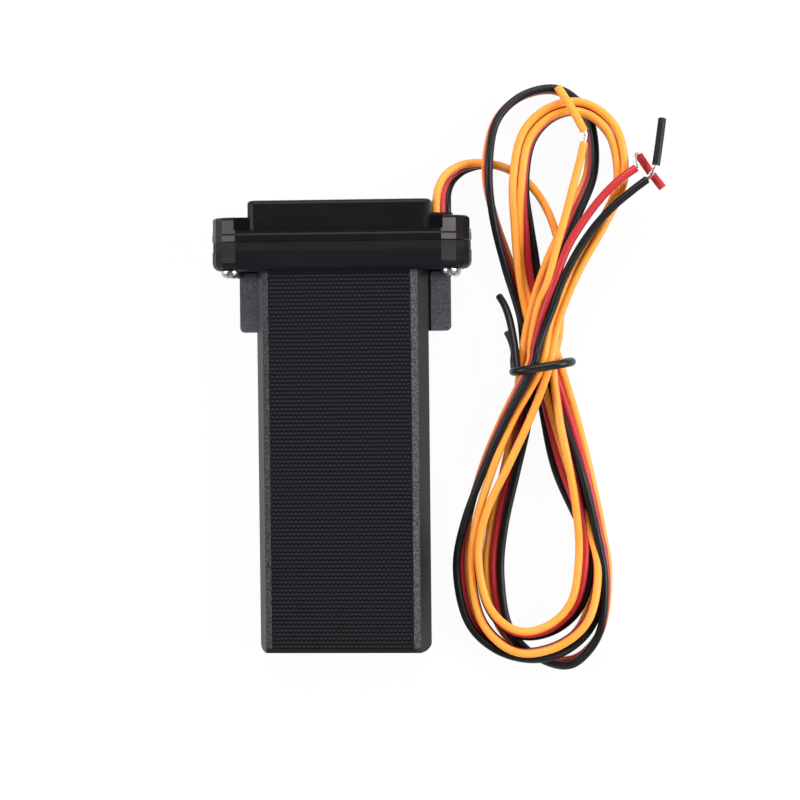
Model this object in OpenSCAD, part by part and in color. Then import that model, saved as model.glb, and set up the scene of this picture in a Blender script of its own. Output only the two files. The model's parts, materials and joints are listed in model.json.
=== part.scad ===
// Waterproof tracker box with a push-on case, a screwed cover and a tied three-core cable.
// X runs across, Y along the length towards the cover, Z up from the back face.

/* [Overall] */
// Length from the closed end to the top of the raised box
overall_len = 90; // [86:0.5:110]

/* [Case] */
// Width of the case at the middle of its thickness
case_w = 34.4; // [33:0.1:38]
// Thickness of the case
case_t = 13.5; // [13.2:0.1:15]
// Width of the flat front and back faces
face_w = 28.3; // [27:0.1:30]
// Width of the chamfer beside each face
edge_run = 1.3; // [0.8:0.1:1.8]
// Depth of the chamfer beside each face
edge_drop = 0.9; // [0.5:0.1:1.4]
// Height of the upright band in the middle of each side
side_band = 1.0; // [0.6:0.1:2]
// Wall of the case
case_wall = 1.6; // [1.2:0.1:1.8]
// Chamfer round the closed end
end_chamfer = 0.9; // [0.5:0.1:1.4]
// Corner radius of the closed end
end_corner_r = 1.4; // [1:0.1:2.5]

/* [Rim] */
// Width of the flange, the seal and the cover
rim_w = 52; // [50:0.5:58]
// Thickness of the flange, the seal and the cover
rim_t = 15; // [14.8:0.1:17]
// Height of the flange on the case
flange_h = 3.8; // [3:0.1:5]
// Rounding under the flange
flange_edge = 1.6; // [1:0.1:2]
// Height of the seal
seal_h = 1.8; // [1.2:0.1:2.4]

/* [Wings] */
// Length of a wing below the flange
wing_len = 12.3; // [8:0.1:16]
// Thickness of a wing
wing_t = 1.6; // [1:0.1:1.7]
// Corner radius of a wing
wing_corner_r = 1.0; // [0.4:0.1:2]

/* [Cover] */
// Height of the cover plate
plate_h = 2.4; // [2:0.1:3.4]
// Rounding of the plate's upper edge
plate_edge = 1.0; // [0.4:0.1:1.4]
// Height of the four corner blocks
corner_h = 2.6; // [2.2:0.1:3.2]
// Step from the plate's edge to a corner block
corner_step = 0.1; // [0:0.1:0.8]
// Rounding of a corner block's upper edge
corner_edge = 0.6; // [0.2:0.1:1]
// Width of the notch between a corner block and the raised box
notch_w = 2.5; // [1.5:0.1:3]
// Depth of that notch
notch_t = 2.0; // [1:0.1:3]
// Thickness of the raised box
top_t = 12.6; // [12:0.1:13.4]
// Height of the raised box above the plate
top_h = 5.9; // [5.2:0.1:8]
// Corner radius of the raised box
top_corner_r = 1.3; // [0.8:0.1:2]
// Rounding of its upper edge
top_edge = 0.7; // [0.3:0.1:1.2]
// Wall of the raised box
top_wall = 1.6; // [1.2:0.1:2]

/* [Screws] */
// Diameter of a case screw
screw_d = 2.0; // [1.6:0.1:2.2]
// Diameter of its head
screw_head_d = 3.6; // [3:0.1:3.8]
// Height of its head
screw_head_h = 1.4; // [1.2:0.1:2]

/* [Board] */
// Width of the board
board_w = 26.6; // [25.6:0.1:27.4]
// Thickness of the board
board_t = 1.2; // [1:0.1:1.4]
// Height of the board's lower face above the inside of the back
board_rise = 3.4; // [3.3:0.1:3.6]
// Side of the square ceramic antenna
patch_w = 25; // [20:0.5:25.5]
// Thickness of the ceramic antenna
patch_t = 4; // [2:0.1:4.2]
// Width of the network radio can
gsm_can_w = 18; // [14:0.5:19]

/* [Battery] */
// Length of the battery
battery_l = 25; // [20:0.5:26]
// Width of the battery
battery_w = 20; // [15:0.5:22]
// Thickness of the battery
battery_t = 2.8; // [2.4:0.1:2.9]

/* [Card and switch] */
// Length of the card
card_l = 15; // [14.5:0.1:15.5]
// Width of the card
card_w = 12; // [11.5:0.1:12.5]
// Thickness of the card
card_t = 0.76; // [0.6:0.02:0.9]
// Travel of the card out of its holder
card_travel = 12; // [6:0.5:12]
// Travel of the switch knob
knob_travel = 2; // [1.5:0.1:2.2]
// Travel of the case while it is drawn off
case_travel = 38; // [20:1:38]

/* [Cable] */
// Diameter of one insulated core
core_d = 1.6; // [1.4:0.05:1.6]
// Diameter of the bare strands
strand_d = 0.9; // [0.6:0.05:1]
// Diameter of the wire that ties the hank
tie_d = 1.7; // [1.3:0.05:1.7]

/* [Hidden] */
$fn = 48;

// Overrun of every cut
over = 0.5;
// Clearance of a rigid part that slides or drops in
fit_gap = 0.12;
// Radial clearance of a screw in its thread and in a plain hole
thread_gap = 0.05;
hole_gap = 0.15;

// Levels along the length
end_y = -overall_len / 2;
top_y = overall_len / 2;
plate_y1 = top_y - top_h;
plate_y0 = plate_y1 - plate_h;
seal_y0 = plate_y0 - seal_h;
flange_y0 = seal_y0 - flange_h;
corner_y1 = plate_y1 + corner_h;
// Straight front edge, raised box, wings and case screws, as shares of the rim
flat_share = 0.785;
facet_run_share = 0.054;
facet_drop_share = 0.1;
facet_inset_share = 0.25;
top_share = 0.7;
wing_share = 0.823;
screw_span_share = 0.842;
screw_rise_share = 0.52;
rim_flat_w = rim_w * flat_share;
top_w = rim_w * top_share;
wing_w = rim_w * wing_share;
screw_span = rim_w * screw_span_share;
screw_rise = rim_t * screw_rise_share;
// Middle of the case and of the rim, through the thickness
case_mz = case_t / 2;
rim_mz = rim_t / 2;
// How far a face and a chamfer foot follow the wall inwards
face_inset_share = 0.5;
foot_inset_share = 0.6;

// Inside of the case
inner_z0 = case_wall;
inner_z1 = case_t - case_wall;
inner_y0 = end_y + case_wall;

// Tongues of the cover under the board, and their screws
tongue_w = 7;
tongue_l = 8.2;
tongue_t = 2.4;
tongue_x = 8;
tongue_y0 = plate_y0 - tongue_l;
board_screw_d = 1.4;
board_screw_head_d = 2.8;
board_screw_head_h = 1;
board_screw_grip = 2;
board_screw_y = tongue_y0 + tongue_l / 3;

// Board and what sits on it
board_end_gap = 1.0;
board_cover_gap = 0.7;
board_y0 = inner_y0 + board_end_gap;
board_y1 = plate_y0 - board_cover_gap;
board_z0 = inner_z0 + board_rise;
board_z1 = board_z0 + board_t;
row_gap = 1.4;
row_margin = 1.2;
row1_y = board_y0 + row_margin;
row2_y = row1_y + patch_w + row_gap;
// The rows above the antenna share what is left of the board below its screws
rows_l = board_screw_y - board_screw_head_d / 2 - 2 * row_gap - row2_y;
gps_share = 0.25;
gsm_share = 0.49;
last_share = 0.2;
gps_can_l = rows_l * gps_share - row_gap / 2;
gsm_can_l = rows_l * gsm_share - row_gap / 2;
last_l = rows_l * last_share;
row3_y = row2_y + gps_can_l + row_gap;
row4_y = row3_y + gsm_can_l + row_gap;
patch_pad_t = 1.0;
electrode_w = 18;
electrode_t = 0.1;
can_sheet = 0.2;
gps_can_w = 11;
gps_can_h = 2;
gps_can_x = -6.4;
gsm_can_h = 2.6;
gsm_can_x = -3;
antenna_w = 22;
antenna_l = 6;
antenna_h = 1.9;
antenna_slot = 0.8;
antenna_slots = 3;
processor_share = 0.5;
processor_w = gps_can_l * processor_share;
processor_h = 0.9;
processor_x = 4.6;
chip_h = 0.8;
chip_w = 3;
chip_share = 0.09;
chip_l = gsm_can_l * chip_share;
chip_x = 10.4;
chip_count = 4;
chip_pitch = 2 * chip_l;
inductor_w = last_l / 2;
inductor_h = 2.2;
capacitor_share = 0.46;
capacitor_d = last_l * capacitor_share;
capacitor_h = 4.4;
capacitor_x = 9.4;
capacitor_pitch = last_l - capacitor_d;
led_w = 1.6;
led_l = 0.9;
led_h = 0.7;
led_pitch = last_l / 3;

// Battery under the board
battery_gap = 0.8;
battery_edge = 0.6;
pad_margin = 2;
battery_z0 = inner_z0 + (board_rise - battery_t) / 2;
battery_pad_t = board_z0 - battery_z0 - battery_t;
battery_y1 = tongue_y0 - battery_gap;
battery_y0 = battery_y1 - battery_l;
battery_wire_d = 0.8;
battery_wire_x = 1.4;
battery_wire_run = 2.6;

// Card holder under the board
holder_wall = 1.0;
holder_floor = 0.4;
card_out = 2;
holder_gap = 1.0;
holder_y1 = battery_y0 - holder_gap;
holder_l = card_l - card_out + holder_wall;
holder_y0 = holder_y1 - holder_l;
holder_w = card_w + 2 * holder_wall;
holder_h = card_t + 2 * holder_floor + 2 * fit_gap;
card_y1 = holder_y1 - holder_wall;
card_y0 = card_y1 - card_l;
card_z0 = board_z0 - holder_floor - fit_gap - card_t;
card_corner = 2;
window_margin = 2;

// Slide switch
switch_w = 8.6;
switch_share = 0.37;
switch_l = gps_can_l * switch_share;
switch_h = 2.6;
switch_wall = 0.5;
switch_x = 6.2;
switch_y = row2_y + gps_can_l - switch_l;
knob_w = 1.8;
knob_l = 1.3;
knob_h = 1.6;
knob_foot = 0.7;
knob_sole_w = 3;

// Cable socket and plug on the board, the inductor beside them and the leds at the edge
socket_w = 8;
inductor_x = -(socket_w + row_gap + inductor_w) / 2;
led_x = (led_w + row_gap - board_w) / 2;
socket_share = 0.53;
socket_l = last_l * socket_share;
socket_h = 3.6;
socket_wall = 0.6;
socket_x = 0;
plug_in_share = 0.74;
plug_out_share = 0.48;
plug_in_l = socket_l * plug_in_share;
plug_out_l = socket_l * plug_out_share;
plug_y0 = row4_y + socket_l - plug_in_l;
plug_y1 = plug_y0 + plug_in_l + plug_out_l;
plug_w = socket_w - 2 * socket_wall - 2 * fit_gap;
plug_h = socket_h - 2 * socket_wall - 2 * fit_gap;
plug_z0 = board_z1 + socket_wall + fit_gap;

// Gland in the gap between the corner blocks, moulded round the cable
gland_t = 4.4;
gland_w = 4;
gland_tenon_h = 3;
gland_rise = 0.6;
corner_gap_t = gland_t + 2 * fit_gap;
gland_x0 = top_w / 2;
gland_y1 = corner_y1 + gland_rise;
gland_y0 = plate_y1;

// Recess in the cover behind the raised box
recess_w = top_w - 2 * top_wall;
recess_t = top_t - 2 * top_wall;

// Directions of the rows of screws
sides = [-1, 1];

// Points of the rim's outline, shrunk by o, round the middle of its thickness: a flat front, a shallow
// facet beside it and a round side
facet_run = rim_w * facet_run_share;
facet_drop = rim_t * facet_drop_share;
function rim_points(o) =
    let (a = rim_w / 2 - o, b = rim_t / 2 - o, c = rim_flat_w / 2 - o * facet_inset_share,
        k = a - c - facet_run, m = b - facet_drop, r = (k * k + m * m) / (2 * k), e = asin(m / r))
    concat(
        [for (i = [-3:3]) [a - r + r * cos(e * i / 3), r * sin(e * i / 3)]],
        [[c, b], [-c, b]],
        [for (i = [-3:3]) [r - a - r * cos(e * i / 3), -r * sin(e * i / 3)]],
        [[-c, -b], [c, -b]]);

// Points of the case's cross-section, shrunk by o
function case_points(o) =
    let (f = face_w / 2 - o * face_inset_share, s = face_w / 2 + edge_run - o, m = case_w / 2 - o,
        h = case_t / 2 - o, e = case_t / 2 - edge_drop - o * foot_inset_share, b = side_band / 2)
    [[f, h], [-f, h], [-s, e], [-m, b], [-m, -b], [-s, -e], [-f, -h], [f, -h],
        [s, -e], [m, -b], [m, b], [s, e]];

// Points of a rectangle with round corners
function round_points(w, h, r) =
    [for (q = [0:3]) for (t = [0:30:90])
        [(q == 0 || q == 3 ? 1 : -1) * (w / 2 - r) + r * cos(90 * q + t),
            (q < 2 ? 1 : -1) * (h / 2 - r) + r * sin(90 * q + t)]];

// An outline drawn across the length, from y0 upwards, round the height mz
module along_y(y0, len, mz) {
    translate([0, y0 + len, mz]) rotate([90, 0, 0]) linear_extrude(len) children();
}

// A box centred on x, from y and z upwards
module slab(w, l, t, x, y, z) {
    translate([x - w / 2, y, z]) cube([w, l, t]);
}

// A rod along the length
module rod_y(d, y0, len, x, z) {
    translate([x, y0 + len, z]) rotate([90, 0, 0]) cylinder(d = d, h = len);
}

// A rod from one point to another
module rod(d, from, to) {
    v = to - from;
    translate(from) rotate([0, acos(v[2] / norm(v)), atan2(v[1], v[0])]) cylinder(d = d, h = norm(v));
}

// A solid skin over rings of equally many points, closed at both ends
module skin(rings) {
    n = len(rings[0]);
    last = (len(rings) - 1) * n;
    polyhedron(
        points = [for (r = rings) for (p = r) p],
        faces = concat(
            [for (k = [1:n - 2]) [0, k + 1, k]],
            [for (i = [0:len(rings) - 2]) for (k = [0:n - 1]) let (a = i * n + k, b = i * n + (k + 1) % n)
                each [[a, b, b + n], [a, b + n, a + n]]],
            [for (k = [1:n - 2]) [last, last + k, last + k + 1]]));
}

// Rings for skin from a table of [y, inset] and the function's own outline
function rim_rings(table, mz) = [for (t = table) [for (p = rim_points(t[1])) [p[0], t[0], mz + p[1]]]];
function top_rings(table, mz) =
    [for (t = table) [for (p = round_points(top_w - 2 * t[1], top_t - 2 * t[1], top_corner_r))
        [p[0], t[0], mz + p[1]]]];

// Steps of a rounded edge of radius r, as [height, inset]
function round_edge(r) = [for (t = [0:30:90]) [r * sin(t), r * (1 - cos(t))]];

// Case: body, flange and wings
module case_shell() {
    edge = round_edge(flange_edge);
    rings = concat(
        [for (k = [3:-1:0]) [flange_y0 + flange_edge - edge[k][0], edge[k][1]]],
        [[seal_y0, 0]]);
    color([0.1, 0.1, 0.12])
    difference() {
        union() {
            intersection() {
                along_y(end_y, flange_y0 + flange_edge - end_y, case_mz) polygon(case_points(0));
                translate([-case_w, 0, 0]) rotate([90, 0, 90]) linear_extrude(2 * case_w)
                    polygon([[end_y, end_chamfer], [end_y + end_chamfer, 0], [seal_y0, 0],
                        [seal_y0, case_t], [end_y + end_chamfer, case_t], [end_y, case_t - end_chamfer]]);
                linear_extrude(case_t) case_plan();
            }
            skin(rim_rings(rings, rim_mz));
            wings();
        }
        along_y(inner_y0, seal_y0 + over - inner_y0, case_mz) polygon(case_points(case_wall));
        for (x = sides) for (z = sides)
            rod_y(screw_d + 2 * hole_gap, flange_y0 - over, flange_h + 2 * over,
                x * screw_span / 2, rim_mz + z * screw_rise / 2);
    }
}

// Plan of the case with the round corners of its closed end
module case_plan() {
    for (x = sides)
        translate([x * (case_w / 2 - end_corner_r), end_y + end_corner_r]) circle(r = end_corner_r);
    translate([-case_w / 2, end_y + end_corner_r]) square([case_w, seal_y0 - end_y - end_corner_r]);
    translate([end_corner_r - case_w / 2, end_y]) square([case_w - 2 * end_corner_r, 2 * end_corner_r]);
}

// Thin wings under the flange, flush with the back
module wings() {
    y0 = flange_y0 - wing_len;
    linear_extrude(wing_t) {
        for (x = sides) translate([x * (wing_w / 2 - wing_corner_r), y0 + wing_corner_r])
            circle(r = wing_corner_r);
        translate([wing_corner_r - wing_w / 2, y0]) square([wing_w - 2 * wing_corner_r, wing_len]);
        translate([-wing_w / 2, y0 + wing_corner_r])
            square([wing_w, wing_len + flange_edge - wing_corner_r]);
    }
}

// Four pan-head screws from under the flange into the corner blocks
module case_screws() {
    color([0.72, 0.73, 0.75])
    for (x = sides) for (z = sides)
        translate([x * screw_span / 2, 0, rim_mz + z * screw_rise / 2]) case_screw();
}

// Profile of a head, as shares of its radius and height
head_shares = [[0, 0], [1, 0], [1, 0.3], [0.93, 0.62], [0.76, 0.86], [0.5, 0.98], [0.3, 1], [0, 1]];
slot_share = 0.17;
slot_run_share = 0.62;
module case_screw() {
    slot = screw_head_d * slot_share;
    run = screw_head_d * slot_run_share;
    depth = screw_head_h / 2;
    difference() {
        union() {
            translate([0, flange_y0, 0]) rotate([90, 0, 0]) rotate_extrude()
                polygon([for (q = head_shares) [q[0] * screw_head_d / 2, q[1] * screw_head_h]]);
            rod_y(screw_d, flange_y0, screw_y1 - flange_y0, 0, 0);
        }
        for (a = [0, 90])
            rotate([0, a, 0]) slab(run, depth + over, slot, 0, flange_y0 - screw_head_h - over, -slot / 2);
    }
}
screw_y1 = corner_y1 - corner_h / 3;

// Cover: plate, corner blocks, raised box and the tongues that carry the board
module cover() {
    edge = round_edge(plate_edge);
    parting = plate_edge / 4;
    plate = concat(
        [[plate_y0, parting], [plate_y0 + parting, 0]],
        [for (k = [0:3]) [plate_y1 - plate_edge + edge[k][0], edge[k][1]]]);
    color([0.07, 0.07, 0.08])
    difference() {
        union() {
            skin(rim_rings(plate, rim_mz));
            corner_blocks();
            raised_box();
            for (x = sides)
                slab(tongue_w, tongue_l + over, tongue_t, x * tongue_x, tongue_y0, board_z0 - tongue_t);
        }
        slab(recess_w, top_y - top_wall - plate_y0 + over, recess_t, 0, plate_y0 - over,
            rim_mz - recess_t / 2);
        for (x = sides) for (z = sides)
            rod_y(screw_d + 2 * thread_gap, plate_y0 - over, screw_y1 + thread_gap - plate_y0 + over,
                x * screw_span / 2, rim_mz + z * screw_rise / 2);
        for (x = sides)
            translate([x * tongue_x, board_screw_y, board_z0 - board_screw_grip]) cylinder(
                d = board_screw_d + 2 * thread_gap, h = board_screw_grip + over);
        slab(2 * top_wall + over, gland_tenon_h + 2 * fit_gap, gland_t - top_wall + 2 * fit_gap,
            gland_x0 - top_wall, gland_y0, rim_mz - (gland_t - top_wall) / 2 - fit_gap);
    }
}

module corner_blocks() {
    edge = round_edge(corner_edge);
    rings = concat(
        [[plate_y1 - plate_edge, corner_step]],
        [for (k = [0:3]) [corner_y1 - corner_edge + edge[k][0], corner_step + edge[k][1]]]);
    difference() {
        skin(rim_rings(rings, rim_mz));
        slab(top_w - top_wall, corner_h + over, rim_t, 0, plate_y1, 0);
        slab(rim_w, corner_h + over, corner_gap_t, 0, plate_y1, rim_mz - corner_gap_t / 2);
        for (z = [-over, rim_t - corner_step - notch_t])
            slab(top_w + 2 * notch_w, corner_h + over, notch_t + corner_step + over, 0, plate_y1, z);
    }
}

module raised_box() {
    edge = round_edge(top_edge);
    skin(top_rings(concat(
        [[plate_y1 - plate_edge, 0]],
        [for (k = [0:3]) [top_y - top_edge + edge[k][0], edge[k][1]]]), rim_mz));
}

// Rubber seal between the flange and the cover
module seal() {
    color([0.15, 0.15, 0.16])
    difference() {
        along_y(seal_y0, seal_h, rim_mz) polygon(rim_points(seal_step));
        along_y(seal_y0 - over, seal_h + 2 * over, case_mz) polygon(case_points(case_wall));
        for (x = sides) for (z = sides)
            rod_y(screw_d + 2 * hole_gap, seal_y0 - over, seal_h + 2 * over,
                x * screw_span / 2, rim_mz + z * screw_rise / 2);
    }
}
seal_step = 0.15;

// Rubber gland moulded round the three cores
module gland() {
    color([0.08, 0.08, 0.08])
    union() {
        translate([gland_x0, gland_y0, rim_mz - gland_t / 2]) cube([gland_w, gland_y1 - gland_y0, gland_t]);
        translate([gland_x0 - top_wall, gland_y0 + fit_gap, rim_mz - (gland_t - top_wall) / 2])
            cube([top_wall, gland_tenon_h, gland_t - top_wall]);
    }
}

// Circuit board with two screw holes
module board() {
    color([0.05, 0.3, 0.15])
    difference() {
        slab(board_w, board_y1 - board_y0, board_t, 0, board_y0, board_z0);
        for (x = sides)
            translate([x * tongue_x, board_screw_y, board_z0 - over])
                cylinder(d = board_screw_d + 2 * hole_gap, h = board_t + 2 * over);
    }
}

module board_screws() {
    color([0.7, 0.7, 0.72])
    for (x = sides) translate([x * tongue_x, board_screw_y, 0]) {
        translate([0, 0, board_z1]) cylinder(d = board_screw_head_d, h = board_screw_head_h);
        translate([0, 0, board_z0 - board_screw_grip + thread_gap])
            cylinder(d = board_screw_d, h = board_screw_grip + board_t - thread_gap);
    }
}

// Satellite antenna: foam pad, ceramic block and silvered face
module patch_pad() {
    color([0.85, 0.85, 0.8])
    slab(patch_w - pad_margin, patch_w - pad_margin, patch_pad_t, 0, row1_y + pad_margin / 2, board_z1);
}

module patch_antenna() {
    color([0.75, 0.68, 0.55])
    slab(patch_w, patch_w, patch_t, 0, row1_y, board_z1 + patch_pad_t);
}

module patch_electrode() {
    color([0.85, 0.85, 0.86])
    slab(electrode_w, electrode_w, electrode_t, 0, row1_y + (patch_w - electrode_w) / 2,
        board_z1 + patch_pad_t + patch_t);
}

// A folded metal can, open towards the board
module metal_can(w, l, h, x, y) {
    difference() {
        slab(w, l, h, x, y, board_z1);
        slab(w - 2 * can_sheet, l - 2 * can_sheet, h, x, y + can_sheet, board_z1 - can_sheet);
    }
}

module gps_can() {
    color([0.8, 0.8, 0.8])
    metal_can(gps_can_w, gps_can_l, gps_can_h, gps_can_x, row2_y);
}

module gsm_can() {
    color([0.78, 0.78, 0.8])
    metal_can(gsm_can_w, gsm_can_l, gsm_can_h, gsm_can_x, row3_y);
}

// Folded network antenna under the closed end of the board
module gsm_antenna() {
    pitch = antenna_w / (antenna_slots + 1);
    color([0.8, 0.65, 0.3])
    difference() {
        slab(antenna_w, antenna_l, antenna_h, 0, row1_y, board_z0 - antenna_h);
        for (k = [1:antenna_slots])
            slab(antenna_slot, antenna_l - antenna_slot, antenna_h + 2 * over, pitch * k - antenna_w / 2,
                row1_y + (k % 2 == 0 ? -over : antenna_slot + over), board_z0 - antenna_h - over);
    }
}

module processor() {
    color([0.1, 0.1, 0.1])
    slab(processor_w, processor_w, processor_h, processor_x, row2_y, board_z1);
}

// Small chips in a row beside the network radio
module chips() {
    color([0.12, 0.12, 0.12])
    for (k = [0:chip_count - 1])
        slab(chip_w, chip_l, chip_h, chip_x, row3_y + k * chip_pitch, board_z1);
}

module inductor() {
    color([0.25, 0.25, 0.27])
    slab(inductor_w, inductor_w, inductor_h, inductor_x, row4_y, board_z1);
}

module capacitors() {
    color([0.75, 0.6, 0.2])
    for (k = [0, 1])
        translate([capacitor_x, row4_y + capacitor_d / 2 + k * capacitor_pitch, board_z1])
            cylinder(d = capacitor_d, h = capacitor_h);
}

module leds() {
    color([0.9, 0.9, 0.8])
    for (k = [0, 1])
        slab(led_w, led_l, led_h, led_x, row4_y + k * led_pitch, board_z1);
}

// Slide switch: a box with a slot and the knob that runs in it
module switch_body() {
    color([0.6, 0.6, 0.62])
    difference() {
        slab(switch_w, switch_l, switch_h, switch_x, switch_y, board_z1);
        slab(knob_sole_w + knob_travel + 2 * fit_gap, switch_l - 2 * switch_wall,
            switch_h - 2 * switch_wall, switch_x, switch_y + switch_wall, board_z1 + switch_wall);
        slab(knob_w + knob_travel + 2 * fit_gap, knob_l + 2 * fit_gap, switch_h, switch_x,
            switch_y + (switch_l - knob_l) / 2 - fit_gap, board_z1 + switch_wall);
    }
}

module switch_knob() {
    color([0.9, 0.9, 0.88])
    translate([switch_x - knob_travel / 2, 0, 0]) {
        slab(knob_w, knob_l, switch_h + knob_h - switch_wall - fit_gap, 0, switch_y + (switch_l - knob_l) / 2,
            board_z1 + switch_wall + fit_gap);
        slab(knob_sole_w, switch_l - 2 * switch_wall - 2 * fit_gap, knob_foot, 0,
            switch_y + switch_wall + fit_gap, board_z1 + switch_wall + fit_gap);
    }
}

// Card holder under the board, open towards the closed end
module card_holder() {
    z0 = board_z0 - holder_h;
    color([0.75, 0.75, 0.77])
    difference() {
        slab(holder_w, holder_l, holder_h, 0, holder_y0, z0);
        slab(card_w + 2 * fit_gap, holder_l - holder_wall + over + fit_gap, card_t + 2 * fit_gap, 0,
            holder_y0 - over, card_z0 - fit_gap);
        slab(card_w - 2 * window_margin, holder_l - 2 * window_margin - holder_wall, holder_floor + over, 0,
            holder_y0 + window_margin, z0 - over);
    }
}

module card() {
    color([0.9, 0.9, 0.92])
    translate([0, 0, card_z0]) linear_extrude(card_t)
        polygon([[-card_w / 2, card_y0], [card_w / 2, card_y0], [card_w / 2, card_y1 - card_corner],
            [card_w / 2 - card_corner, card_y1], [-card_w / 2, card_y1]]);
}

// Pouch battery, its tape and its two wires
module battery() {
    color([0.75, 0.76, 0.78])
    along_y(battery_y0, battery_l, battery_z0 + battery_t / 2)
        polygon(round_points(battery_w, battery_t, battery_edge));
}

module battery_pad() {
    color([0.85, 0.85, 0.8])
    slab(battery_w - 2 * pad_margin, battery_l - 2 * pad_margin, battery_pad_t, 0, battery_y0 + pad_margin,
        battery_z0 + battery_t);
}

module battery_wires() {
    z = battery_z0 + battery_t / 2;
    color([0.7, 0.1, 0.1])
    for (x = sides) translate([x * battery_wire_x, battery_y1, 0]) {
        rod_y(battery_wire_d, 0, battery_wire_run, 0, z);
        translate([0, battery_wire_run, z]) sphere(d = battery_wire_d);
        translate([0, battery_wire_run, z]) cylinder(d = battery_wire_d, h = board_z0 - z);
    }
}

// Cable socket on the board and the plug in it
module cable_socket() {
    color([0.93, 0.92, 0.88])
    difference() {
        slab(socket_w, socket_l, socket_h, socket_x, row4_y, board_z1);
        slab(plug_w + 2 * fit_gap, plug_in_l + fit_gap + over, plug_h + 2 * fit_gap, socket_x,
            plug_y0 - fit_gap, plug_z0 - fit_gap);
    }
}

module cable_plug() {
    color([0.93, 0.92, 0.88])
    slab(plug_w, plug_y1 - plug_y0, plug_h, socket_x, plug_y0, plug_z0);
}

// A tube of n sides that follows points, each ring square to the way through its point
function way(p, i) =
    let (a = p[max(i - 1, 0)], b = p[min(i + 1, len(p) - 1)], v = b - a) v / norm(v);
function ring_at(c, v, d, n) =
    let (s = cross(v, [0, 0, 1]), u = s / norm(s), w = cross(u, v))
    [for (k = [0:n - 1]) c + d / 2 * (cos(360 * k / n) * u + sin(360 * k / n) * w)];
module tube(p, d, n) {
    skin([for (i = [0:len(p) - 1]) ring_at(p[i], way(p, i), d, n)]);
}

// The flat cable: its cores lie side by side, a pitch apart, turned by a twist about the way
core_gap = 0.02;
core_pitch = core_d + core_gap;
lead_sides = 8;
hank_sides = 6;
orange = 1;
red = 0;
black = -1;
function core_path(p, k) =
    [for (i = [0:len(p) - 1])
        let (v = way([for (q = p) [q[0], q[1], 0]], i), s = [-v[1], v[0], 0])
        [p[i][0], p[i][1], p[i][2]] + k * core_pitch * (cos(p[i][3]) * s + [0, 0, sin(p[i][3])])];

// Straight run before each tube's end
join_run = 1.6;

// Hank: loops above and below a waist, one layer under the other where they cross
cable_out = 13.9;
cable_back = 33.5;
waist_x = rim_w / 2 + cable_out;
waist_y = top_y - cable_back;
waist_step = 2.5;
layer = 5.3;
bed = 2.45;
waist_lift = tie_d + 3 * fit_gap;
lift_run = 9;
rings_a_loop = 24;
spans_a_loop = 14;
// Heights of the leg points, and how far out each quarter's leg has gone there
leg_height_shares = [0.18, 0.36, 0.54, 0.7];
leg_out_shares = [[0.13, 0.38, 0.72, 0.96], [0.3, 0.62, 0.9, 1], [0.36, 0.68, 0.92, 1], [0.27, 0.64, 0.92, 1]];
leg_top_share = 0.74;
// Shares of a layer at the inner points of a loop, from its right leg over its end to its left leg
over_shares = [1, 1, 1, 1, 1, 1, 1, 1, 1, 1, 0.62, 0.25, 0];
dip_shares = [1, 1, 0.8, 0.18, 0, 0, 0.3, 0.7, 1, 1, 0.62, 0.25, 0];
rise_shares = [0, 0, 0.25, 0.55, 0.85, 1, 1, 1, 1, 1, 1, 1, 1];
under_shares = [0, 0, 0, 0, 0, 0, 0, 0, 0, 0.1, 0.45, 0.8, 1];
// Loops in the order in which the cable runs: reach, right, left, middle of the end, climb
loops = [[-60.6, 14.5, -9.2, 3.3, under_shares], [52.4, 16.9, -5.9, 6.4, over_shares],
    [-57, 9.4, -16.1, -3.6, rise_shares], [56.3, 11.6, -10.6, 2.4, dip_shares],
    [-53.2, 6.7, -12.4, -3.5, rise_shares], [49.9, 13.4, -3.3, 6.2, over_shares],
    [-59.4, 12, -18.9, -2.5, rise_shares]];
// Places of the passes through the waist, in steps from its middle
passes = [1.5, 1.5, -0.5, -0.5, -1.5, 0.5, 0.5, -1.5];
// Run in from the lead and run out to the tails, as [x, y, layers, twist] from the waist
run_in = [[3.4, 19.5, 0, 90], [3.5, 12.5, 0, 90], [3.7, 6, 0, 90]];
run_out = [[-3.9, 3.5, 1.25, 90], [-3.9, 7, 1.65, 60], [-2.5, 11, 1.75, 20], [0.2, 15.4, 1.75, 10]];

function leg_points(l, w, right) =
    let (reach = l[0], out = right ? l[1] : l[2],
        s = leg_out_shares[(reach > 0 ? 0 : 2) + (right ? 0 : 1)])
    concat(
        [for (k = [0:3]) [w + (out - w) * s[k], reach * leg_height_shares[k]]],
        [for (t = [30, 60]) [l[3] + (out - l[3]) * cos(t),
            reach * (leg_top_share + (1 - leg_top_share) * sin(t))]]);
function turned(p) = [for (i = [len(p) - 1:-1:0]) p[i]];
function loop_points(l, w0, w1) =
    let (p = concat(leg_points(l, w0, true), [[l[3], l[0]]], turned(leg_points(l, w1, false))))
    [for (i = [0:12]) [p[i][0], p[i][1], l[4][i], 90]];
hank_knots = concat(run_in,
    [for (i = [0:6]) each concat([[passes[i] * waist_step, 0, i % 2, 90]],
        loop_points(loops[i], passes[i] * waist_step, passes[i + 1] * waist_step))],
    [[passes[7] * waist_step, 0, 1, 90]], run_out);

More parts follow.
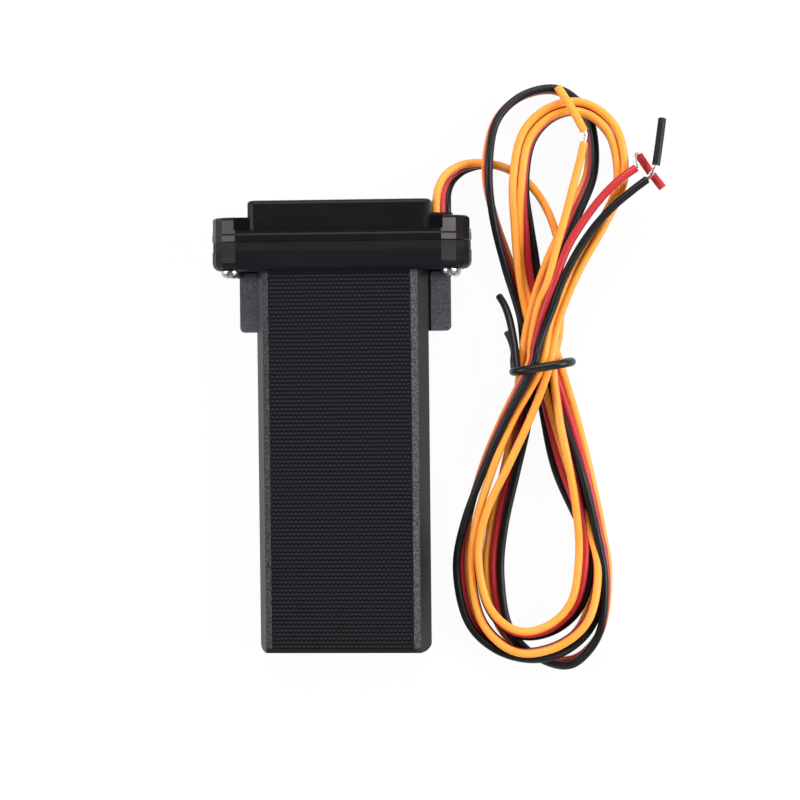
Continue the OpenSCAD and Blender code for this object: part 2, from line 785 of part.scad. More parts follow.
// A smooth way through the knots, at t spans from the first
function knot(k) = hank_knots[min(max(k, 0), len(hank_knots) - 1)];
function smooth(t) =
    let (i = min(floor(t), len(hank_knots) - 2), s = t - i, a = knot(i - 1), b = knot(i), c = knot(i + 1),
        d = knot(i + 2))
    (2 * b + (c - a) * s + (2 * a - 5 * b + 4 * c - d) * s * s + (3 * b - a - 3 * c + d) * s * s * s) / 2;
function placed(q) =
    [waist_x + q[0], waist_y + q[1],
        bed + layer * max(0, q[2]) + waist_lift * max(0, 1 - pow(q[1] / lift_run, 2)), q[3]];
hank_spans = len(hank_knots) - 1;
ring_span = spans_a_loop / rings_a_loop;
function hank_route(step) = [for (t = [0:step:hank_spans - step / 2]) placed(smooth(t))];
run_end = placed(run_out[3]);
out_turn = 25;
out_way = [sin(out_turn), cos(out_turn), 0, 0];
hank_start = placed(run_in[0]) + [0, join_run, 0, 0];
hank_path = concat([hank_start],
    hank_route(ring_span), [run_end, run_end + join_run * out_way]);

// Free stretch from the gland to the hank, as [x, y, z, twist]
gland_way = [[1.9, 0, 7.5, 50], [1.9, 1.7, 7.3, 50], [2.1, 4.3, 6.6, 55], [3.2, 6.9, 5.4, 60]];
lead_way = [[-16.3, 39.6, 4.1, 70], [-13.5, 40.5, 3, 80], [-10.5, 40.6, 2.5, 90], [-7.5, 39.9, 2.45, 90],
    [-4.7, 38.4, 2.45, 90], [-2.1, 36.1, 2.45, 90], [0.1, 33.1, 2.45, 90], [1.9, 29.5, 2.45, 90],
    [3.1, 25.7, 2.45, 90]];
lead_route = concat(
    [for (p = gland_way) [gland_x0 + p[0], gland_y1 + p[1], p[2], p[3]]],
    [for (p = lead_way) [waist_x + p[0], waist_y + p[1], p[2], p[3]]],
    [[hank_start[0], hank_start[1] + join_run, bed, 90], hank_start]);

// Least gap of a tube to itself, among points further apart along it than near_run
near_run = 12;
function tube_gap(p, d) =
    let (n = len(p), skip = ceil(near_run / norm(p[floor(n / 2)] - p[floor(n / 2) - 1])))
    min([for (i = [0:n - skip - 1]) for (j = [i + skip:n - 1]) norm(p[i] - p[j])]) - d;
union() {
    fine = core_path(hank_route(ring_span / 5), red);
    echo(hank_gap = tube_gap(fine, core_d));
}

module core_colour(k) {
    color(k == orange ? [0.99, 0.62, 0.2] : k == red ? [0.85, 0.15, 0.15] : [0.1, 0.1, 0.1]) children();
}

module lead(k) {
    core_colour(k) tube(core_path(lead_route, k), core_d, lead_sides);
}
module lead_orange() { lead(orange); }
module lead_red() { lead(red); }
module lead_black() { lead(black); }

module hank(k) {
    core_colour(k) tube(core_path(hank_path, k), core_d, hank_sides);
}
module hank_orange() { hank(orange); }
module hank_red() { hank(red); }
module hank_black() { hank(black); }

// Points given from the waist's middle
function from_waist(p) = [waist_x + p[0], waist_y + p[1], p[2]];
function all_from_waist(points) = [for (p = points) from_waist(p)];

// Free ends of the cores, from the hank to where each is stripped
function tail_start(k) = core_path([run_end, run_end + join_run * out_way], k)[1];
orange_route = all_from_waist([[1.7, 21.1, 12.4], [3.3, 25.3, 12], [4.9, 29.9, 11.6], [6.4, 35.1, 11.4],
    [7.8, 40.1, 11.2], [8.6, 44.1, 11.2]]);
red_route = all_from_waist([[3.7, 20.9, 12], [5.7, 24.5, 11.8], [8.5, 28.7, 11.6], [11.9, 32.9, 11.4],
    [15.3, 36.3, 11.2], [18.8, 39, 10.6]]);
black_route = all_from_waist([[5.5, 19.7, 11.8], [7.7, 23.5, 11.6], [10.9, 27.7, 11.4], [14.3, 31.3, 11.3],
    [17.7, 34.3, 11], [20.9, 36.7, 10.4]]);
way_step = [join_run * sin(out_turn), join_run * cos(out_turn), 0];

module tail(k, route) {
    start = tail_start(k);
    core_colour(k) tube(concat([start, start + way_step], route), core_d, lead_sides);
}
module tail_orange() { tail(orange, orange_route); }
module tail_red() { tail(red, red_route); }
module tail_black() { tail(black, black_route); }

// Bare strands, and the cut pieces of insulation left at the tips
orange_bend = from_waist([8.9, 45.7, 11.3]);
orange_tip = from_waist([3.5, 55.1, 11.3]);
red_bends = all_from_waist([[18.6, 40.7, 9.6], [18.7, 41.9, 8.6]]);
black_bend = from_waist([22.6, 39.1, 10.6]);
black_tip = from_waist([24, 48.7, 9]);
red_slug_ends = all_from_waist([[19.3, 41.7, 8.2], [24, 35.1, 8.2]]);
slug_gap = 0.5;
function last_point(route) = route[len(route) - 1];
function unit(v) = v / norm(v);
orange_slug_start = orange_bend + slug_gap * unit(orange_tip - orange_bend);
black_slug_start = black_bend + slug_gap * unit(black_tip - black_bend);

module strands(points) {
    color([0.8, 0.78, 0.75]) tube(points, strand_d, lead_sides);
}
module strands_orange() {
    strands([last_point(orange_route), orange_bend, orange_slug_start]);
}
module strands_red() { strands(concat([last_point(red_route)], red_bends, [red_slug_ends[0]])); }
module strands_black() {
    strands([last_point(black_route), black_bend, black_slug_start]);
}

module slug_orange() {
    core_colour(orange) rod(core_d, orange_slug_start, orange_tip);
}
module slug_red() { core_colour(red) rod(core_d, red_slug_ends[0], red_slug_ends[1]); }
module slug_black() {
    core_colour(black) rod(core_d, black_slug_start, black_tip);
}

// Covered wire round the waist, its two ends left standing beside it
tie_slack = 0.8;
tie_side_slack = 1.1;
tie_half_w = 1.5 * waist_step + core_d / 2 + tie_side_slack;
tie_half_h = (layer + 2 * core_pitch + core_d + tie_slack) / 2;
tie_corner = 1.2;
tie_turn = 9;
tie_band_x = -tie_half_w - tie_d / 2;
tie_route_long = all_from_waist([[tie_band_x, -1, 4], [-7.1, 2.1, 3.5], [-7.4, 5.8, 2.7], [-7.9, 9.7, 1.7],
    [-8.8, 13.9, 0.9]]);
tie_route_short = all_from_waist([[tie_band_x, -1, 6.6], [-7.3, 1.5, 6.2], [-7.9, 3.9, 5.4],
    [-8.5, 6.3, 4.4]]);
module hank_tie() {
    color([0.13, 0.13, 0.14])
    translate([waist_x, waist_y + tie_d / 2, tie_half_h + tie_d]) rotate([90, 0, tie_turn])
        linear_extrude(tie_d) difference() {
            tie_outline(tie_d);
            tie_outline(0);
        }
}
module tie_outline(o) {
    w = tie_half_w - tie_corner;
    h = tie_half_h - tie_corner;
    for (x = sides) for (y = sides) translate([x * w, y * h]) circle(r = tie_corner + o);
    square([2 * (w + tie_corner + o), 2 * h], center = true);
    square([2 * w, 2 * (h + tie_corner + o)], center = true);
}
module tie_ends() {
    color([0.13, 0.13, 0.14]) {
        tube(tie_route_long, tie_d, lead_sides);
        tube(tie_route_short, tie_d, lead_sides);
    }
}

// Cores inside the cover, from the plug to the gland
inner_d = core_d / 2;
inner_bend = 6;
inner_pitch = 0.9;
inner_turns = [0, 22.5, 45, 67.5, 90];
module inner_core(k) {
    x0 = socket_x - k * core_pitch;
    z0 = plug_z0 + plug_h / 2;
    y1 = gland_y0 + fit_gap + gland_tenon_h / 2 + k * inner_pitch;
    color(k == orange ? [0.99, 0.62, 0.2] : k == red ? [0.85, 0.15, 0.15] : [0.1, 0.1, 0.1])
    tube(concat([[x0, plug_y1, z0], [x0, plug_y1 + inner_d, z0]],
        [for (t = inner_turns) [x0 + inner_bend * (1 - cos(t)), y1 - inner_bend * (1 - sin(t)),
            z0 + (rim_mz - z0) * sin(t)]],
        [[gland_x0 - top_wall - inner_d, y1, rim_mz], [gland_x0 - top_wall, y1, rim_mz]]), inner_d, lead_sides);
}
module inner_orange() { inner_core(orange); }
module inner_red() { inner_core(red); }
module inner_black() { inner_core(black); }

case_shell();
case_screws();
cover();
seal();
gland();
board();
board_screws();
patch_pad();
patch_antenna();
patch_electrode();
gps_can();
gsm_can();
gsm_antenna();
processor();
chips();
inductor();
capacitors();
leds();
switch_body();
switch_knob();
card_holder();
card();
battery();
battery_pad();
battery_wires();
cable_socket();
cable_plug();
inner_orange();
inner_red();
inner_black();
lead_orange();
lead_red();
lead_black();
hank_orange();
hank_red();
hank_black();
hank_tie();
tie_ends();
tail_orange();
tail_red();
tail_black();
strands_orange();
strands_red();
strands_black();
slug_orange();
slug_red();
slug_black();
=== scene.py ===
"""Looks of the tracker box and its tied cable: camera, cords, materials, light.

Lengths are written in millimetres and turned into metres by MM.
"""
import bmesh
import bpy
import json
import math
from mathutils import Matrix, Vector
from mathutils.kdtree import KDTree


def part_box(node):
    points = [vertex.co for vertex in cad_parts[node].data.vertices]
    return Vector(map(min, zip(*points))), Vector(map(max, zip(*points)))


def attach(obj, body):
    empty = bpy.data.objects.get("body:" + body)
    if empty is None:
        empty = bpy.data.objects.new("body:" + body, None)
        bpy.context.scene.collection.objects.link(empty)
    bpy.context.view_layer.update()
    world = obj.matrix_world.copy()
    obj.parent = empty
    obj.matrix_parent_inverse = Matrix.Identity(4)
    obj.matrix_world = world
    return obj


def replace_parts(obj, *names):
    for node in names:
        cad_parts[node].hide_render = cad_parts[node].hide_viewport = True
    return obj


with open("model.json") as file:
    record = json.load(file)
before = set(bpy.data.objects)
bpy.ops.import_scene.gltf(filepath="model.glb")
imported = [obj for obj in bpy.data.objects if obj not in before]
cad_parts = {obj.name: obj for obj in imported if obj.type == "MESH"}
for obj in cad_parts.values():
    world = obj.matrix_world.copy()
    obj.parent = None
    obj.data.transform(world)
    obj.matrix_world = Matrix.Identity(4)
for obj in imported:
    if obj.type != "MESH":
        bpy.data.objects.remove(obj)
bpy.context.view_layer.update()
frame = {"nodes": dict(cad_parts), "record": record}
MM = 0.001
BODY = "tracker"


def add_object(name, data):
    """An object of any kind, linked into the scene."""
    obj = bpy.data.objects.new(name, data)
    bpy.context.collection.objects.link(obj)
    return obj


# Camera: place, turns about Y, X and its own axis in radians, lens and sensor, and its range in metres
CAMERA_AT = (50.4, 21.2, 523.9)
CAMERA_TURNS = ((0.0754, "Y"), (-0.0311, "X"), (-0.0105, "Z"))
LENS = 116.7
SENSOR = 36.0
NEAREST, FURTHEST = 0.01, 20


def make_camera():
    """Almost straight above the part, a little to its right."""
    data = bpy.data.cameras.new("camera")
    data.lens, data.sensor_width = LENS, SENSOR
    data.clip_start, data.clip_end = NEAREST, FURTHEST
    camera = add_object("camera", data)
    place = Matrix.Translation(Vector(CAMERA_AT) * MM)
    for angle, axis in CAMERA_TURNS:
        place = place @ Matrix.Rotation(angle, 4, axis)
    camera.matrix_world = place
    bpy.context.scene.camera = camera


# Materials. A Mix node keeps its colours at these places: share, first and second colour, result
MIX_INPUTS = (0, 6, 7)
MIX_OUTPUT = 2


class Shader:
    """A small builder: each method adds a node and returns its output socket."""

    def __init__(self, name):
        self.material = bpy.data.materials.new(name)
        self.material.use_nodes = True
        self.tree = self.material.node_tree
        self.base = self.tree.nodes["Principled BSDF"]

    def node(self, kind, inputs=(), out=0, **settings):
        node = self.tree.nodes.new(kind)
        for key, value in settings.items():
            setattr(node, key, value)
        for key, value in dict(inputs).items():
            self.put(node.inputs[key], value)
        return node.outputs[out]

    def put(self, socket, value):
        """A link from another node, or a constant on the socket itself."""
        if isinstance(value, bpy.types.NodeSocket):
            self.tree.links.new(value, socket)
        else:
            socket.default_value = value

    def set(self, **values):
        """Inputs of the shader itself."""
        for key, value in values.items():
            self.put(self.base.inputs[key.replace("_", " ")], value)

    def place(self):
        return self.node("ShaderNodeTexCoord", out="Object")

    def axis(self, name):
        """The place along one axis, in metres."""
        return self.node("ShaderNodeSeparateXYZ", {0: self.place()}, out=name)

    def facing(self, axis):
        """How far the surface looks along one axis, from -1 to 1."""
        normal = self.node("ShaderNodeNewGeometry", out="True Normal")
        return self.node("ShaderNodeSeparateXYZ", {0: normal}, out=axis)

    def maths(self, operation, a, b=0.0, c=0.0):
        return self.node("ShaderNodeMath", {0: a, 1: b, 2: c}, operation=operation)

    def over(self, value, limit):
        return self.maths("GREATER_THAN", value, limit)

    def under(self, value, limit):
        return self.maths("LESS_THAN", value, limit)

    def near(self, value, centre, reach):
        return self.under(self.maths("ABSOLUTE", self.maths("SUBTRACT", value, centre)), reach)

    def product(self, first, *others):
        for other in others:
            first = self.maths("MULTIPLY", first, other)
        return first

    def noise(self, size_mm, detail=3.0, place=None):
        return self.node("ShaderNodeTexNoise", {"Vector": place or self.place(),
                                                "Scale": 1 / (size_mm * MM), "Detail": detail})

    def ramp(self, value, low, high, from_low=0.3, from_high=0.7):
        """A value made to run from low to high; a noise runs from about 0.3 to 0.7."""
        return self.node("ShaderNodeMapRange", {"Value": value, "From Min": from_low,
                                                "From Max": from_high, "To Min": low, "To Max": high})

    def blend(self, share, a, b):
        """A colour from a, where the share is 0, to b."""
        node = self.tree.nodes.new("ShaderNodeMix")
        node.data_type = "RGBA"
        share_socket, *colour_sockets = (node.inputs[k] for k in MIX_INPUTS)
        self.put(share_socket, share)
        for socket, colour in zip(colour_sockets, (a, b)):
            self.put(socket, (*colour, 1) if isinstance(colour, tuple) else colour)
        return node.outputs[MIX_OUTPUT]

    def bump(self, height, depth_mm, strength=1.0, below=None):
        """A relief, on top of the relief below it where there is one."""
        inputs = {"Height": height, "Distance": depth_mm * MM, "Strength": strength}
        if below is not None:
            inputs["Normal"] = below
        return self.node("ShaderNodeBump", inputs)


def shade(colour, share):
    return tuple(c * share for c in colour)


def moulded(name, colour, roughness, grain_mm=0.5, grain_depth=0.02, spread=0.12, gloss=0.5):
    """Moulded plastic: a faint uneven colour, uneven gloss and a fine grain."""
    s = Shader(name)
    low, high = shade(colour, 1 - spread), shade(colour, 1 + spread)
    s.set(Base_Color=s.blend(s.noise(size_mm=9), low, high),
          Roughness=s.ramp(s.noise(size_mm=4), low=roughness - 0.05, high=roughness + 0.05),
          Normal=s.bump(s.noise(grain_mm), grain_depth, strength=0.5), Specular_IOR_Level=gloss)
    return s.material


def metal(name, colour, roughness, brushed_mm=0.3):
    """Metal with fine brushing along X and a slightly uneven polish."""
    s = Shader(name)
    stretched = s.node("ShaderNodeMapping", {"Vector": s.place(), "Scale": (0.05, 1, 1)})
    lines = s.noise(brushed_mm, detail=2.0, place=stretched)
    s.set(Base_Color=s.blend(s.noise(size_mm=6), shade(colour, 0.88), colour), Metallic=1.0,
          Roughness=s.ramp(lines, low=roughness - 0.06, high=roughness + 0.08),
          Normal=s.bump(lines, depth_mm=0.01, strength=0.4))
    return s.material


# The case, from its lowest colour value to its highest: plain moulding, dimples with painted shade and
# highlight, painted highlight on the chamfer and painted light on the wing
PLAIN = ((0.006, 0.0062, 0.0075), (0.011, 0.0113, 0.0135))
# Dimples: painted shade in the seams between them up to a painted highlight on their crowns
PAINTED_DIMPLE_SHADING = ((0.0005, 0.0005, 0.0007), (0.0185, 0.019, 0.0235))
# The chamfers beside the front are painted lighter and speckled: a painted highlight
PAINTED_CHAMFER_HIGHLIGHT = (0.075, 0.077, 0.088)
# The wings are painted paler: painted light, as if lit more than the rest of the black moulding
PAINTED_WING_LIGHT = ((0.085, 0.087, 0.102), (0.150, 0.153, 0.175))
# Dimples: width and height of one, how round it is along and across, its relief, and the whole columns
# and rows added so that none has a negative number
DIMPLE_W = 0.87
DIMPLE_H = 0.8
DIMPLE_POWERS = (0.6, 1.4)
DIMPLE_DEPTH = 0.14
SPARE_COLUMNS, SPARE_ROWS = 100.0, 200.0
# Where the dimples are on the front, and where the wings are
FACE_HALF_W = 13.9
FACE_END_Y = -44.0
FACE_TOP_Y = 30.6
FRONT_Z = 11.5
WING_SIDE_X = 17.4
WING_TOP_Z = 2.3
WING_END_Y = 30.8
# How far up a flat face looks at least, and a chamfer with its reach to both sides
FLAT_TILT = 0.95
CHAMFER_TILT = 0.82
CHAMFER_REACH = 0.1


def dimples(s, x, y):
    """The height of rows of round dimples, each row shifted by half a dimple."""
    row = s.maths("ADD", s.maths("DIVIDE", y, DIMPLE_H * MM), SPARE_ROWS)
    shift = s.maths("MULTIPLY", s.maths("MODULO", s.maths("FLOOR", row), 2.0), 0.5)
    column = s.maths("ADD", s.maths("DIVIDE", x, DIMPLE_W * MM), s.maths("ADD", shift, SPARE_COLUMNS))
    waves = [s.maths("SINE", s.maths("MULTIPLY", s.maths("FRACT", value), math.pi))
             for value in (column, row)]
    return s.product(*(s.maths("POWER", wave, power) for wave, power in zip(waves, DIMPLE_POWERS)))


def case_material():
    """Black moulding: dimpled front with painted shade and highlight on its dimples, a speckled painted
    highlight on the chamfers beside it and wings painted paler as painted light.
    """
    s = Shader("case_plastic")
    x, y, z = (s.axis(name) for name in "XYZ")
    wide, tilt = s.maths("ABSOLUTE", x), s.facing("Z")
    front = s.product(s.under(y, FACE_TOP_Y * MM), s.over(z, FRONT_Z * MM), s.over(y, FACE_END_Y * MM))
    face = s.product(s.over(tilt, FLAT_TILT), s.under(wide, FACE_HALF_W * MM), front)
    chamfer = s.product(s.near(tilt, CHAMFER_TILT, CHAMFER_REACH), front)
    wing = s.product(s.over(wide, WING_SIDE_X * MM), s.under(z, WING_TOP_Z * MM),
                     s.under(y, WING_END_Y * MM))
    relief = s.product(dimples(s, x, y), face)
    # The grain of the painted highlight on the chamfers
    highlight_speckle = s.ramp(s.noise(size_mm=0.4, detail=4.0), low=0.15, high=1.0, from_low=0.40,
                     from_high=0.66)
    # An uneven grey within the painted light on the wings
    mottle = s.ramp(s.noise(size_mm=0.45, detail=4.0), low=0.0, high=1.0, from_low=0.35)
    # On the face the colour follows the dimples' relief: painted shade in the seams, painted highlight
    # on the crowns
    colour = s.blend(face, s.blend(s.noise(size_mm=9), *PLAIN), s.blend(relief, *PAINTED_DIMPLE_SHADING))
    # A speckled painted highlight on the chamfers
    colour = s.blend(s.product(chamfer, highlight_speckle), colour, PAINTED_CHAMFER_HIGHLIGHT)
    # The wings get a paler colour: painted light
    colour = s.blend(wing, colour, s.blend(mottle, *PAINTED_WING_LIGHT))
    rough = s.ramp(s.maths("MAXIMUM", face, wing), low=0.36, high=0.55, from_low=0.0, from_high=1.0)
    grain = s.bump(s.noise(size_mm=0.35), depth_mm=0.012, strength=0.5)
    s.set(Base_Color=colour, Roughness=rough, Normal=s.bump(relief, DIMPLE_DEPTH, below=grain),
          Specular_IOR_Level=0.07)
    return s.material


# The board's tracks: cells in a metre, and the place and half width of a track in its cell
TRACKS_PER_METRE = 420.0
TRACK_AT = 0.42
TRACK_HALF_W = 0.05
# How far up a surface looks at least that counts as flat, and how far to -X a capacitor's stripe does
UPWARD = 0.5
STRIPE_FACING = -0.86


def board_material():
    """Green lacquer over copper, with a grid of paler tracks and a bare cut edge."""
    s = Shader("board_green")
    cells = s.node("ShaderNodeTexVoronoi", {"Vector": s.place(), "Scale": TRACKS_PER_METRE},
                   out="Distance", distance="CHEBYCHEV")
    tracks = s.near(cells, TRACK_AT, TRACK_HALF_W)
    lacquer = s.blend(tracks, (0.006, 0.07, 0.03), (0.02, 0.16, 0.06))
    flat = s.over(s.maths("ABSOLUTE", s.facing("Z")), UPWARD)
    relief = s.maths("ADD", tracks, s.noise(size_mm=1.5))
    s.set(Base_Color=s.blend(flat, (0.25, 0.24, 0.12), lacquer), Roughness=0.3,
          Normal=s.bump(relief, depth_mm=0.03, strength=0.4), Coat_Weight=0.3)
    return s.material


def ceramic_material():
    """Fired ceramic with a fine mottle."""
    s = Shader("ceramic")
    s.set(Base_Color=s.blend(s.noise(size_mm=0.4), (0.52, 0.43, 0.30), (0.62, 0.53, 0.39)),
          Roughness=0.6, Normal=s.bump(s.noise(size_mm=0.25), depth_mm=0.03, strength=0.6))
    return s.material


def capacitor_material():
    """A sleeved can: bare metal end, and a dark stripe down one side."""
    s = Shader("tantalum")
    end = s.over(s.facing("Z"), UPWARD)
    stripe = s.under(s.facing("X"), STRIPE_FACING)
    sleeve = s.blend(s.noise(size_mm=0.6), (0.50, 0.25, 0.035), (0.58, 0.30, 0.045))
    sleeve = s.blend(stripe, sleeve, (0.03, 0.03, 0.03))
    s.set(Base_Color=s.blend(end, sleeve, (0.72, 0.72, 0.74)), Metallic=end,
          Roughness=s.ramp(s.noise(size_mm=0.3), low=0.30, high=0.42),
          Normal=s.bump(s.noise(size_mm=0.3), depth_mm=0.015, strength=0.4))
    return s.material


def insulation(name, colour, gloss):
    """Extruded insulation: satin, its colour and polish slightly uneven."""
    s = Shader(name)
    s.set(Base_Color=s.blend(s.noise(size_mm=7), shade(colour, 0.9), colour),
          Roughness=s.ramp(s.noise(size_mm=3), low=0.36, high=0.48),
          Normal=s.bump(s.noise(size_mm=0.8), depth_mm=0.02, strength=0.35),
          Specular_IOR_Level=gloss)
    return s.material


# Slots by kind, each with the arguments of its function: colour, roughness, and then for a moulding
# its grain's size and depth, its colour's spread and its gloss, for a metal its brushing's size
MOULDINGS = {
    "cover_plastic": ((0.0065, 0.0066, 0.0078), 0.30, 0.4, 0.015, 0.25, 0.2),
    "seal_rubber": ((0.0065, 0.0065, 0.0075), 0.55, 0.3, 0.03, 0.3, 0.16),
    "gland_rubber": ((0.008, 0.008, 0.008), 0.55, 0.3, 0.03, 0.2, 0.3),
    "tie_black": ((0.006, 0.006, 0.007), 0.40, 0.3, 0.02, 0.2, 0.3),
    "foam": ((0.62, 0.62, 0.55), 0.85, 0.25, 0.08),
    "chip_black": ((0.018, 0.018, 0.019), 0.5, 0.12, 0.02),
    "led_white": ((0.75, 0.74, 0.62), 0.25, 0.4, 0.01),
    "cream_plastic": ((0.72, 0.68, 0.56), 0.4, 0.3, 0.02),
    "card_white": ((0.74, 0.75, 0.80), 0.35, 0.3, 0.01),
}
METALS = {
    "screw_steel": ((0.52, 0.52, 0.54), 0.30),
    "silver": ((0.82, 0.82, 0.83), 0.38, 0.5),
    "tinned_steel": ((0.72, 0.73, 0.74), 0.34),
    "gold_metal": ((0.82, 0.60, 0.26), 0.32),
    "pouch": ((0.66, 0.67, 0.69), 0.42, 0.8),
    "copper_strands": ((0.86, 0.84, 0.82), 0.28, 0.2),
}
# Insulation: colour and gloss
WIRES = {
    "wire_orange": ((0.93, 0.335, 0.045), 0.3),
    "wire_red": ((0.46, 0.022, 0.028), 0.4),
    "wire_black": ((0.006, 0.006, 0.007), 0.25),
}


def make_materials():
    """All materials by the name of their slot."""
    made = {"case_plastic": case_material(), "board_green": board_material(),
            "ceramic": ceramic_material(), "tantalum": capacitor_material()}
    for kind, table in ((moulded, MOULDINGS), (metal, METALS), (insulation, WIRES)):
        made.update((name, kind(name, *values)) for name, values in table.items())
    return made


MATERIALS = make_materials()


def dress_cad():
    """Each CAD node gets the material of its slot in the record."""
    slots = {part["node"]: part["material_slot"] for part in frame["record"]["subparts"]}
    for name, obj in frame["nodes"].items():
        if name in slots:
            obj.data.materials.clear()
            obj.data.materials.append(MATERIALS[slots[name]])


# Curves and pieces. A wire's roundness, and the points made for each span between two knots
WIRE_RESOLUTION = 5
CABLE_STEPS = 8
END_STEPS = 6


def add_piece(name, data, slot):
    """An object of the part itself, on the root body and in a material slot."""
    data.materials.append(MATERIALS[slot])
    obj = add_object(name, data)
    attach(obj, BODY)
    return obj


def round_curve(name, diameter, ways, resolution, closed=False):
    """Curve data of one or more round wires along their ways, in millimetres."""
    data = bpy.data.curves.new(name, "CURVE")
    data.dimensions = "3D"
    data.bevel_depth = diameter / 2 * MM
    data.bevel_resolution = resolution
    data.use_fill_caps = True
    for way in ways:
        spline = data.splines.new("POLY")
        spline.points.add(len(way) - 1)
        for at, point in zip(spline.points, way):
            at.co = (*(Vector(point[:3]) * MM), 1)
        spline.use_cyclic_u = closed
    return data


def add_wire(name, way, diameter, slot, closed=False):
    """A round wire as a piece."""
    return add_piece(name, round_curve(name, diameter, [way], WIRE_RESOLUTION, closed), slot)


def smooth(knots, steps):
    """A Catmull-Rom way through the knots, steps points a span."""
    def knot(k):
        return knots[min(max(k, 0), len(knots) - 1)]
    way = []
    for i in range(len(knots) - 1):
        a, b, c, d = knot(i - 1), knot(i), knot(i + 1), knot(i + 2)
        for k in range(steps):
            t = k / steps
            way.append([(2 * q + (r - p) * t + (2 * p - 5 * q + 4 * r - s) * t ** 2
                         + (3 * q - p - 3 * r + s) * t ** 3) / 2 for p, q, r, s in zip(a, b, c, d)])
    way.append(list(knots[-1]))
    return way


# The cable: three cores side by side. The waist is where the hank is tied, and a core's middle is never
# lower than BED
CORE_D = 1.6
PITCH = 1.62
WAIST = (39.9, 11.5)
BED = CORE_D / 2
TIE_D = 1.7

# From the gland, as (x, y, z of the middle, twist)
LEAD = [(20.1, 42.3, 7.5, 50), (20.1, 44, 7.3, 50), (20.3, 46.6, 6.6, 55), (21.4, 49.2, 5.4, 60),
        (23.6, 51.1, 4.1, 70), (26.4, 52, 3, 80), (29.4, 52.1, 2.5, 90), (32.4, 51.4, 2.45, 90),
        (35.2, 49.9, 2.45, 90), (37.8, 47.6, 2.45, 90), (40, 44.6, 2.45, 90), (41.8, 41, 2.45, 90),
        (43, 37.2, 2.45, 90), (43.3, 34, 2.45, 85)]

# Loops: reach, middle of the end, right and left leg, and (lift, twist) at five places, from the right
# leg's low point over its high point, the end and the left leg's high point to its low point. A leg is
# its outermost x and the share of the way there that it has gone at each of LEG_HEIGHTS.
LOOPS = {
    "C": (-53.6, -3.4, (8.4, (0.20, 0.50, 0.82, 0.99)), (-13.2, (0.25, 0.56, 0.88, 1)),
          [(2.2, 100), (2.0, 145), (2.9, 115), (2.8, 90), (4, 90)]),
    "Q": (52.4, 6.4, (16.9, (0.13, 0.38, 0.72, 0.96)), (-5.4, (0.50, 0.80, 0.95, 1)),
          [(5.1, 90), (4.2, 90), (4.0, 90), (5.0, 90), (2.2, 90)]),
    "B": (-57.4, -3.6, (11.0, (0.17, 0.39, 0.72, 0.97)), (-14.7, (0.40, 0.70, 0.92, 1)),
          [(0, 35), (0, 85), (3.0, 90), (1.5, 90), (3.5, 90)]),
    "R": (50.6, 6.3, (15.7, (0.13, 0.38, 0.72, 0.96)), (-3.7, (0.55, 0.80, 0.95, 1)),
          [(5.1, 90), (4.2, 90), (4.0, 90), (5.0, 105), (2.2, 158)]),
    "D": (-59.8, 3.4, (12.5, (0.32, 0.61, 0.83, 0.97)), (-10.4, (0.22, 0.55, 0.88, 1)),
          [(1.7, -60), (1.2, -76), (0, -102), (0, -25), (0, -35)]),
    "P": (55.4, 1.6, (10.8, (0.12, 0.34, 0.66, 0.93)), (-10.9, (0.14, 0.46, 0.82, 0.97)),
          [(5.0, -42), (0.4, -64), (0, -88), (5.0, -104), (0.8, -70)]),
    "A": (-58.2, -2.5, (10.9, (0.42, 0.67, 0.90, 1)), (-16.9, (0.37, 0.68, 0.92, 1)),
          [(0, -155), (0, -145), (2.0, -98), (0.4, -120), (3, -81)]),
}
ORDER = "CQBRDPA"
# Passes through the waist: x from its middle, lift, twist
PASSES = [(2.2, 0, 95), (1.2, 5.2, 90), (-0.9, 0, 75), (-0.3, 5.2, 90), (1.8, 0, -12),
          (-2.7, 5.0, -20), (-3.0, 0, -98), (-2.3, 7.2, -72)]
# Heights of a leg's knots as shares of the reach, the height at which its end begins to turn, and the
# turns at which that has knots, in degrees
LEG_HEIGHTS = (0.18, 0.36, 0.54, 0.70)
LEG_TOP = 0.74
END_TURNS = (30, 60)
# Numbers of a loop's knots that have a lift and a twist of their own: the pass before it, the five
# places and the pass after it
STATIONS = (0, 2, 4, 7, 10, 12, 14)
# Knots before the first pass and after the last, as (x, y, lift, twist) from the waist's middle, and
# how far from there the cable still rises to lie on the tie
RUN_IN = [(3.4, 19.5, 0, 85), (3.4, 12.5, 0, 85), (3.0, 6, 0, 85)]
RUN_OUT = [(-1.5, 4, 7.4, -62), (-0.5, 8, 8.4, -45), (0.9, 12.4, 9.4, -22)]
LIFT_RUN = 9

# Free ends, as (x, y, z)
TAILS = {
    "orange": [(41.2, 28.6, 11.5), (43.1, 35.6, 11.7), (44.8, 41.4, 11.5), (46.4, 47.4, 11.3),
               (47.7, 52.2, 11.2), (48.5, 55.6, 11.2)],
    "red": [(42.6, 28.8, 11.5), (45.2, 35.2, 11.6), (48.6, 40.6, 11.4), (52, 44.9, 11.2),
            (55.4, 48.2, 11), (58.7, 50.5, 10.6)],
    "black": [(44.1, 28.6, 11.5), (47.2, 34.4, 11.5), (50.6, 39.2, 11.3), (54.2, 43, 11.1),
              (57.7, 45.9, 10.8), (60.8, 48.2, 10.4)],
}
# A tail leaves the hank in the direction that this many of the hank's last points have
TAIL_OVERLAP = 6
# Each core's place beside the cable's middle, in pitches
TURNS = {"orange": 1, "red": 0, "black": -1}


def between(table, at):
    """A value read from a table of (place, value) by straight lines."""
    for (x0, y0), (x1, y1) in zip(table, table[1:]):
        if at <= x1:
            return y0 + (y1 - y0) * (at - x0) / (x1 - x0)
    return table[-1][1]


